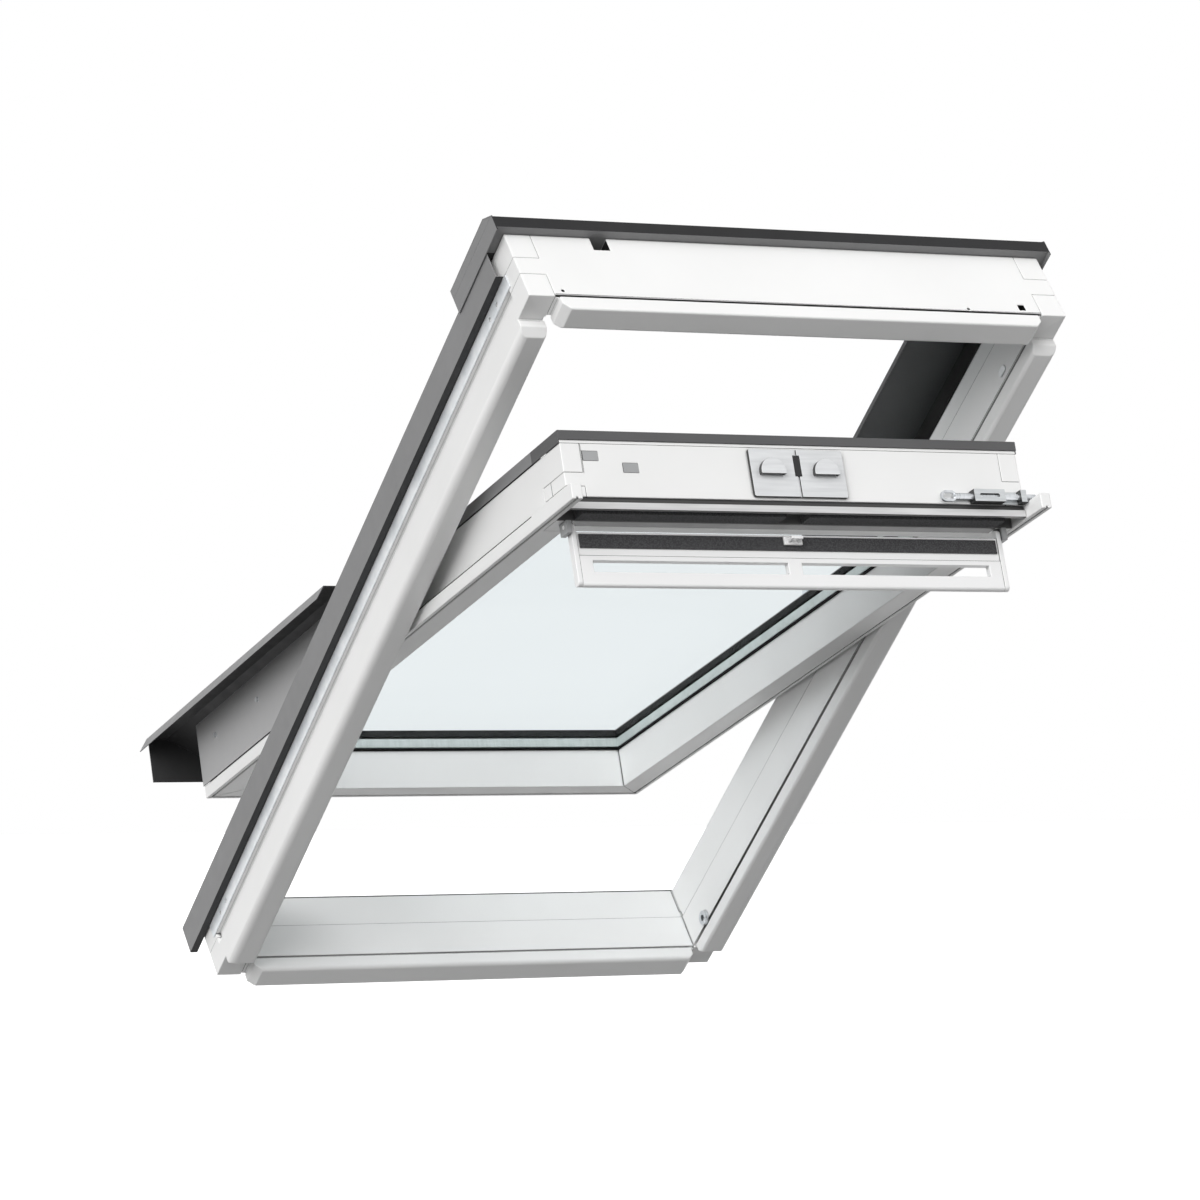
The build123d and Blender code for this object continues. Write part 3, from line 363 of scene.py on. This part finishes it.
# Painted shade on the floor of the vent's recess, and on a strip of its underside across the flap's
# width.
recess_depth = 0.046
recess_shade_width = 0.022
recess_shade_skin = 0.0008
recess_shade_level = 0.12
recess_floor = reach("sash_top", sash_up)[1] - recess_depth
recess_under = reach("sash_top", sash_out)[0]
flap_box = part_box("flap_panel")
recess = [
    [(sash_up, recess_floor - recess_shade_skin, recess_floor + recess_shade_skin)],
    [
        (sash_out, recess_under - recess_shade_skin, recess_under + recess_shade_skin),
        (sash_up, recess_floor - recess_shade_width, recess_floor + recess_shade_skin),
        (across, flap_box[0].x, flap_box[1].x),
    ],
]
vented_white = moulded(
    "vented_moulding", white_dark, white_light, white_rough, recess, recess_shade_level
)

gloss_white = moulded("white_plastic", grey(0.84), grey(0.86), rough=0.34)
grey_plastic = moulded("grey_plastic", (0.33, 0.335, 0.34), (0.40, 0.405, 0.41), rough=0.45)

# Sheet cladding, in one grey outside, with painted shade on faces turned down or inward, a painted darker
# hood lip and painted paler apron walls
under = (0.0, -0.8, -0.6)
left_inward = (0.8, -0.48, -0.36)
right_inward = (-0.8, -0.48, -0.36)
coat_dark = (0.228, 0.228, 0.230)
coat_light = (0.243, 0.243, 0.246)
coat_rough = 0.50
hood_rough = 0.48
# Painted shade on the sheets' faces turned down.
sheet_under_shade = (0.045, 0.045, 0.046)
# The hood's faces toward roof_up are painted darker than the rest of the same sheet, standing in for how
# light falls on the lip.
hood_lip_painted_dark = (0.026, 0.026, 0.027)
# Painted shade on the covers' faces turned inward and down.
cover_under_shade = (0.105, 0.105, 0.106)
# Painted light: the apron's upright walls are paler so they read as lit.
apron_wall_painted_light = (0.43, 0.43, 0.433)
cladding = coated_sheet("grey_cladding", coat_dark, coat_light, coat_rough, sheet_under_shade, under)
hood_coat = coated_sheet("hood_cladding", coat_dark, coat_light, hood_rough, hood_lip_painted_dark, roof_up)
apron_coat = coated_sheet(
    "apron_cladding", coat_dark, coat_light, coat_rough, sheet_under_shade, under, apron_wall_painted_light
)
left_cover = coated_sheet(
    "left_cover", coat_dark, coat_light, coat_rough, cover_under_shade, left_inward
)
right_cover = coated_sheet(
    "right_cover", coat_dark, coat_light, coat_rough, cover_under_shade, right_inward
)
strip = coated_sheet("strip_cladding", (0.105, 0.105, 0.107), (0.120, 0.120, 0.122), rough=0.46)
gutter_black = coated_sheet("gutter_black", grey(0.010), grey(0.018), rough=0.55)
dark_metal = coated_sheet("dark_metal", (0.030, 0.030, 0.031), (0.045, 0.045, 0.046), rough=0.5)

# Metals, rubber, foam and glass
zinc = galvanised(
    "zinc_steel", (0.80, 0.84, 0.87), (0.93, 0.95, 0.97), rough=0.36, metallic=0.45
)
steel = galvanised(
    "bright_steel", (0.50, 0.52, 0.54), (0.68, 0.70, 0.72), rough=0.32, metallic=0.85
)
light_metal = galvanised(
    "light_metal", (0.62, 0.64, 0.65), (0.74, 0.76, 0.77), rough=0.42, metallic=0.35
)
spacer_metal = galvanised(
    "spacer_metal", (0.42, 0.46, 0.45), (0.52, 0.56, 0.55), rough=0.45, metallic=0.2
)
# Painted shade on the plates' edges and on the rail's face below its lip; only faces toward sash_up keep
# the metal's colour.
lock_plate = plated(
    "lock_plate", (0.62, 0.63, 0.64), (0.72, 0.73, 0.74), grey(0.05), rough=0.40, toward=sash_up
)
bolt_plate = plated(
    "bolt_plate", (0.50, 0.52, 0.53), (0.62, 0.64, 0.65), grey(0.04), rough=0.34, toward=sash_up
)
rail_lip = 0.002
lip_face = reach("filter_rail", sash_up)[1] - rail_lip
rail_metal = plated(
    "rail_metal", grey(0.55), grey(0.66), grey(0.06), rough=0.36, toward=sash_up, groove=lip_face
)
black_rubber = rubber("rubber", grey(0.003), grey(0.007))
dark_foam = foam("dark_foam", (0.035, 0.035, 0.037), (0.075, 0.075, 0.078))
glass = glazing("glass", (0.895, 0.922, 0.930), (0.905, 0.930, 0.937))

by_slot = {
    "white_moulding": white,
    "white_plastic": gloss_white,
    "grey_plastic": grey_plastic,
    "grey_cladding": cladding,
    "dark_metal": dark_metal,
    "zinc_steel": zinc,
    "bright_steel": steel,
    "light_metal": light_metal,
    "rubber": black_rubber,
    "dark_foam": dark_foam,
    "glass": glass,
}
by_node = {
    "hood": hood_coat,
    "frame_top": pierced_white,
    "frame_caps": light_metal,
    "sash_top": vented_white,
    "cover_left": left_cover,
    "cover_right": right_cover,
    "gutter_left": gutter_black,
    "gutter_right": gutter_black,
    "sash_cladding_top": strip,
    "apron_left": apron_coat,
    "apron_right": apron_coat,
    "flap_seal": dark_foam,
    "spacer": spacer_metal,
    "lock_case": lock_plate,
    # The latch is painted dark so the slot it fills shows as painted shade.
    "latch": dark_metal,
    "bolt_case": bolt_plate,
    "filter_rail": rail_metal,
}

# Surfaces and rounded edges of the CAD pieces
sheet_edge = 0.0005
edge_steps = 2
sharp_angle = 0.6
weld_distance = 0.00002
edge_width = {
    "white_moulding": 0.0016,
    "white_plastic": 0.0012,
    "grey_cladding": sheet_edge,
    "light_metal": sheet_edge,
}
for part in frame["record"]["subparts"]:
    piece = nodes[part["node"]]
    mat = by_node.get(part["node"], by_slot[part["material_slot"]])
    piece.data.materials.clear()
    piece.data.materials.append(mat)
    width = edge_width.get(part["material_slot"])
    if width:
        weld = piece.modifiers.new("weld", "WELD")
        weld.merge_threshold = weld_distance
        edge = piece.modifiers.new("edge", "BEVEL")
        edge.width = width
        edge.segments = edge_steps
        edge.limit_method = "ANGLE"
        edge.angle_limit = sharp_angle
        edge.harden_normals = True
        edge.use_clamp_overlap = False
        edge.loop_slide = False


# Trim that closes the hood's ends and the joint over the top of the sash

def prism(name, outline, sweep, body, mat):
    """A solid with a flat outline, swept straight."""
    count = len(outline)
    points = outline + [point + sweep for point in outline]
    faces = [list(range(count))[::-1], list(range(count, 2 * count))]
    for i in range(count):
        j = (i + 1) % count
        faces.append([i, j, count + j, count + i])
    mesh = bpy.data.meshes.new(name)
    mesh.from_pydata(points, [], faces)
    solid = bmesh.new()
    solid.from_mesh(mesh)
    bmesh.ops.recalc_face_normals(solid, faces=solid.faces)
    solid.to_mesh(mesh)
    solid.free()
    mesh.materials.append(mat)
    piece = bpy.data.objects.new(name, mesh)
    bpy.context.scene.collection.objects.link(piece)
    edge = piece.modifiers.new("edge", "BEVEL")
    edge.width = sheet_edge
    edge.segments = edge_steps
    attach(piece, body)


def at_place(x, up, up_place, out, out_place):
    return Vector((x, 0.0, 0.0)) + up * up_place + out * out_place


sheet = 0.002
hood_bevel = 0.025
leg_height = 0.030
hood_low, hood_top = reach("hood", roof_out)
leg_end, hood_lip = reach("hood", roof_up)
leg_top = hood_low + leg_height
hood_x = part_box("hood")[1].x
for side, x, sweep in (("left", -hood_x, sheet), ("right", hood_x, -sheet)):
    outline = [
        at_place(x, roof_up, leg_end, roof_out, leg_top),
        at_place(x, roof_up, hood_lip, roof_out, leg_top),
        at_place(x, roof_up, hood_lip - hood_bevel, roof_out, hood_top),
        at_place(x, roof_up, leg_end, roof_out, hood_top),
    ]
    prism("hood_end_" + side, outline, sweep * across, "frame", hood_coat)

bead_lip = 0.015
edge_depth = 0.010
edge_low = reach("sash_top", sash_out)[1]
edge_high = reach("sash_cladding_top", sash_out)[1] - bead_lip
edge_face = reach("sash_top", sash_up)[1]
edge_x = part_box("sash_top")[1].x
outline = [
    at_place(-edge_x, sash_up, edge_face, sash_out, edge_low),
    at_place(-edge_x, sash_up, edge_face, sash_out, edge_high),
    at_place(-edge_x, sash_up, edge_face - edge_depth, sash_out, edge_high),
    at_place(-edge_x, sash_up, edge_face - edge_depth, sash_out, edge_low),
]
prism("sash_top_edge", outline, 2 * edge_x * across, "sash", white)


# Floor and background

def seen_plainly(tree):
    """1 for rays that show the background: straight, through glass or mirrored; else 0."""
    path = tree.nodes.new("ShaderNodeLightPath")
    total = path.outputs["Is Camera Ray"]
    for ray in ("Is Transmission Ray", "Is Glossy Ray"):
        total = combine(tree, "MAXIMUM", total, path.outputs[ray])
    return total


floor_drop = 0.45
floor_half = 60
low = cad_box[0].z - floor_drop
floor_corners = [
    (-floor_half, -floor_half, low),
    (floor_half, -floor_half, low),
    (floor_half, floor_half, low),
    (-floor_half, floor_half, low),
]
floor_mesh = bpy.data.meshes.new("floor")
floor_mesh.from_pydata(floor_corners, [], [(0, 1, 2, 3)])
floor = bpy.data.objects.new("floor", floor_mesh)
bpy.context.scene.collection.objects.link(floor)

floor_glow = 0.62
floor_mat, tree, shader, at = new_material("floor_white")
shader.inputs["Roughness"].default_value = 0.9
shader.inputs["Emission Color"].default_value = (1, 1, 1, 1)
seen = seen_plainly(tree)
drift = noise(tree, at, scale=0.8)
stray_floor = tone(tree, drift, grey(0.14), grey(0.16))
pale_floor = tone(tree, drift, grey(0.78), grey(0.80))
tree.links.new(blend(tree, seen, stray_floor, pale_floor), shader.inputs["Base Color"])
tree.links.new(remap(tree, seen, high=floor_glow), shader.inputs["Emission Strength"])
floor_mesh.materials.append(floor_mat)

stray_sky = 0.5
world = bpy.data.worlds.new("studio")
world.use_nodes = True
bpy.context.scene.world = world
tree = world.node_tree
background = tree.nodes["Background"]
sky = remap(tree, seen_plainly(tree), low=stray_sky)
tree.links.new(sky, background.inputs["Strength"])
background.inputs["Color"].default_value = (1, 1, 1, 1)


# Light and camera

def lamp(name, energy, place, angle):
    """A sun that shines from a place toward the middle of the object."""
    data = bpy.data.lights.new(name, "SUN")
    data.energy = energy
    data.angle = angle
    light = bpy.data.objects.new(name, data)
    bpy.context.scene.collection.objects.link(light)
    light.location = place
    light.rotation_mode = "QUATERNION"
    light.rotation_quaternion = Vector(place).to_track_quat("Z", "Y")


lamp("key", energy=2.2, place=(-7.2, -5.2, 4.6), angle=0.9)
lamp("fill", energy=0.65, place=(-2.5, -7.2, 6.5), angle=1.0)

camera_data = bpy.data.cameras.new("camera")
camera_data.lens = 155.402
camera_data.sensor_width = 36.0
camera_data.clip_end = 200.0
camera = bpy.data.objects.new("camera", camera_data)
bpy.context.scene.collection.objects.link(camera)
camera_place = (-3.888075, -7.545316, -0.238122)
right = Vector((0.8901930, -0.4555237, -0.0073828))
down = Vector((0.0086320, 0.0330667, -0.9994159))
ahead = Vector((0.4555018, 0.8896093, 0.0333678))
turn = Matrix((right, -down, -ahead)).transposed().to_4x4()
camera.matrix_world = Matrix.Translation(camera_place) @ turn
bpy.context.scene.camera = camera
bpy.context.scene.view_settings.view_transform = "Standard"
